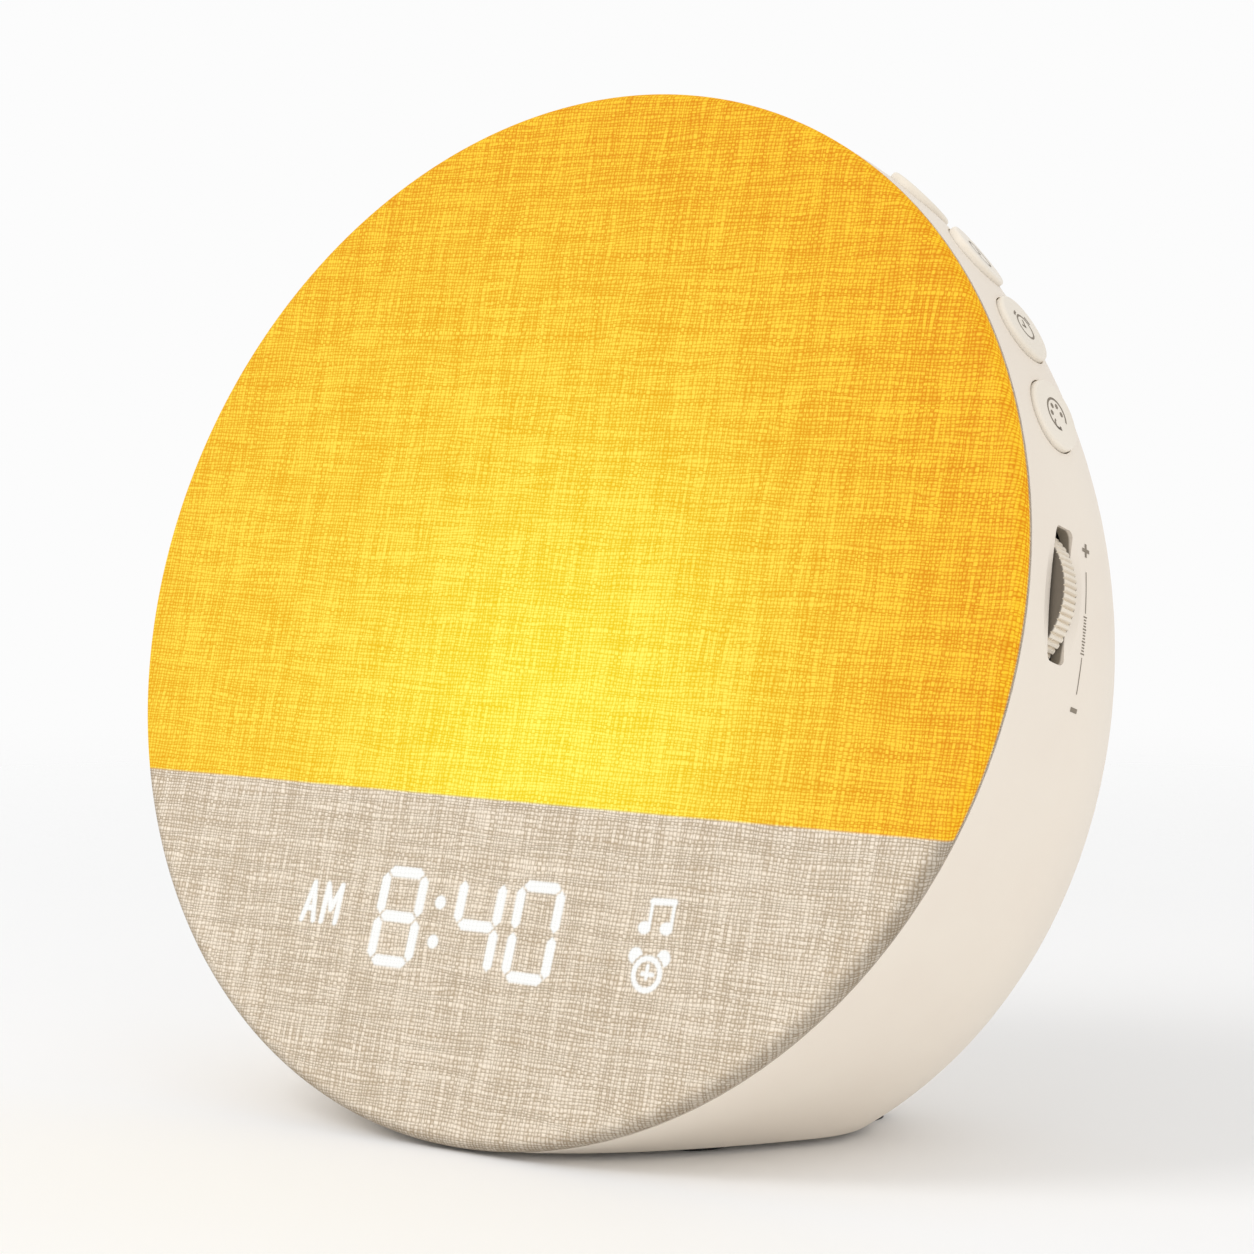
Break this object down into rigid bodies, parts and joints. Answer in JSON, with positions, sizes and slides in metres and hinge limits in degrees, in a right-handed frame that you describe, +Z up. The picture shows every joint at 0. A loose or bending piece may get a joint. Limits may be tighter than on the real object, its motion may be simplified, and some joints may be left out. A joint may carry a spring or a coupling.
{
  "type": "sunrise alarm clock",
  "caption": "Round bedside wake-up light and alarm clock: a linen-fronted drum leaning back on a flat base, with side buttons, a volume thumbwheel and a rear speaker.",
  "frame": {"origin": "on the table under the middle of the clock", "axes": "+Z up, +Y from the face to the back, +X to the side with the buttons and the thumbwheel"},
  "size_m": [0.1811, 0.0794, 0.1732],
  "materials": {
    "housing_plastic": "fine satin moulded ABS, warm beige",
    "linen": "plain-woven linen with slubs, lit from behind by the lamp",
    "frame_plastic": "moulded ABS",
    "opal_plastic": "opal diffusing polycarbonate",
    "fascia_plastic": "opaque moulded plastic",
    "lens": "smoked acrylic",
    "light_guide": "clear light guides, lit white",
    "block_plastic": "black moulded display body",
    "circuit_board": "green solder mask",
    "components": "black component packages",
    "reflector_plastic": "white moulded reflector",
    "lamp_board": "aluminium board with white mask",
    "led": "phosphor-filled light-emitting diodes",
    "steel": "zinc-plated steel",
    "button_plastic": "satin moulded cap",
    "switch_plastic": "black switch housing",
    "plunger_plastic": "nylon plunger",
    "wheel_plastic": "moulded ribbed wheel",
    "speaker_steel": "black-coated steel basket",
    "cone_paper": "black paper cone",
    "soft_rubber": "matt rubber",
    "magnet": "ferrite magnet with steel plate",
    "jack_plastic": "black inlet body",
    "brass_pin": "plated contact pin",
    "lead_cover": "PVC insulation"
  },
  "bodies": {
    "clock": {"main_housing": "housing_plastic", "rubber_feet": "soft_rubber", "fabric_cover": "linen", "front_frame": "frame_plastic", "light_diffuser": "opal_plastic", "display_fascia": "fascia_plastic", "display_lens": "lens", "display_segments": "light_guide", "display_indicators": "light_guide", "display_block": "block_plastic", "main_board": "circuit_board", "main_board_parts": "components", "main_board_screws": "steel", "lamp_reflector": "reflector_plastic", "lamp_board": "lamp_board", "lamp_leds": "led", "lamp_board_screws": "steel", "button_carrier": "frame_plastic", "button_switches": "switch_plastic", "carrier_screws": "steel", "potentiometer": "components", "wheel_bracket": "steel", "bracket_screws": "steel", "rear_cover": "housing_plastic", "rear_cover_screws": "steel", "speaker_gasket": "soft_rubber", "speaker_frame": "speaker_steel", "speaker_surround": "soft_rubber", "speaker_cone": "cone_paper", "speaker_magnet": "magnet", "speaker_screws": "steel", "power_jack": "jack_plastic", "jack_pin": "brass_pin", "lamp_lead": "lead_cover", "speaker_lead": "lead_cover", "power_lead": "lead_cover", "control_lead": "lead_cover"},
    "palette_button": {"palette_button": "button_plastic", "switch_plunger_1": "plunger_plastic"},
    "alarm_button": {"alarm_button": "button_plastic", "switch_plunger_2": "plunger_plastic"},
    "time_button": {"time_button": "button_plastic", "switch_plunger_3": "plunger_plastic"},
    "sound_button": {"sound_button": "button_plastic", "switch_plunger_4": "plunger_plastic"},
    "volume_wheel": {"volume_wheel": "wheel_plastic", "wheel_shaft": "steel"}
  },
  "joints": [
    {"name": "palette_button_press", "type": "slide", "parent": "clock", "child": "palette_button", "axis": [-0.9078, -0.1205, -0.4018], "range_m": [0, 0.00035], "stiffness_N_per_m": 2500, "springref_m": -0.0001},
    {"name": "alarm_button_press", "type": "slide", "parent": "clock", "child": "alarm_button", "axis": [-0.8155, -0.205, -0.5413], "range_m": [0, 0.00035], "stiffness_N_per_m": 2500, "springref_m": -0.0001},
    {"name": "time_button_press", "type": "slide", "parent": "clock", "child": "time_button", "axis": [-0.6937, -0.3153, -0.6476], "range_m": [0, 0.00035], "stiffness_N_per_m": 2500, "springref_m": -0.0001},
    {"name": "sound_button_press", "type": "slide", "parent": "clock", "child": "sound_button", "axis": [-0.5487, -0.4067, -0.7304], "range_m": [0, 0.00035], "stiffness_N_per_m": 2500, "springref_m": -0.0001},
    {"name": "volume_wheel_turn", "type": "hinge", "parent": "clock", "child": "volume_wheel", "pos_m": [0.07812, 0.00106, 0.09086], "axis": [0, -0.9578, 0.2874], "range_deg": [-140, 140]}
  ]
}
